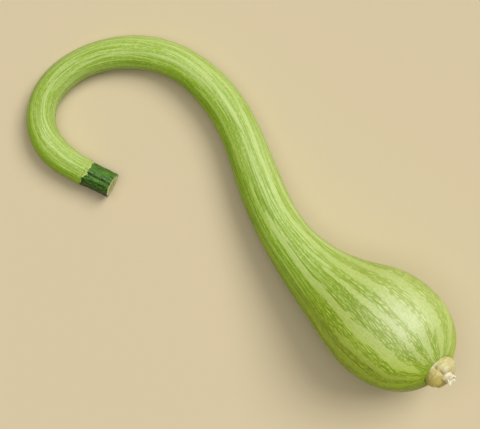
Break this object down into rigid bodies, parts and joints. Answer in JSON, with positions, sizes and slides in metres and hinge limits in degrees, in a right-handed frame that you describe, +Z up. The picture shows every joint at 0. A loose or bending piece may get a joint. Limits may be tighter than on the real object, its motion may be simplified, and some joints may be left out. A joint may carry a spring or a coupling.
{
  "type": "tromboncino squash",
  "caption": "Pale green tromboncino squash lying on its side: pear-shaped bulb, long neck curled into a hook, cut stem and corky blossom-end button.",
  "frame": {"origin": "on the surface the squash lies on, under the middle of the box round it", "axes": "+Z up from that surface; seen from above with +Y away, the hook is at the far left (-X, +Y) and the bulb at the near right (+X, -Y)"},
  "size_m": [0.3391, 0.2815, 0.09],
  "materials": {
    "skin": "smooth waxy vegetable skin, pale green with lighter and darker stripes, half matt",
    "stem": "dark green ridged stalk, slightly glossy, with a pale fibrous cut face",
    "cork": "dull corky tan",
    "dry_flower": "dry, papery, off-white"
  },
  "bodies": {
    "root": {"fruit": "skin", "stem": "stem", "blossom_button": "cork", "flower_stub": "dry_flower"}
  },
  "joints": []
}
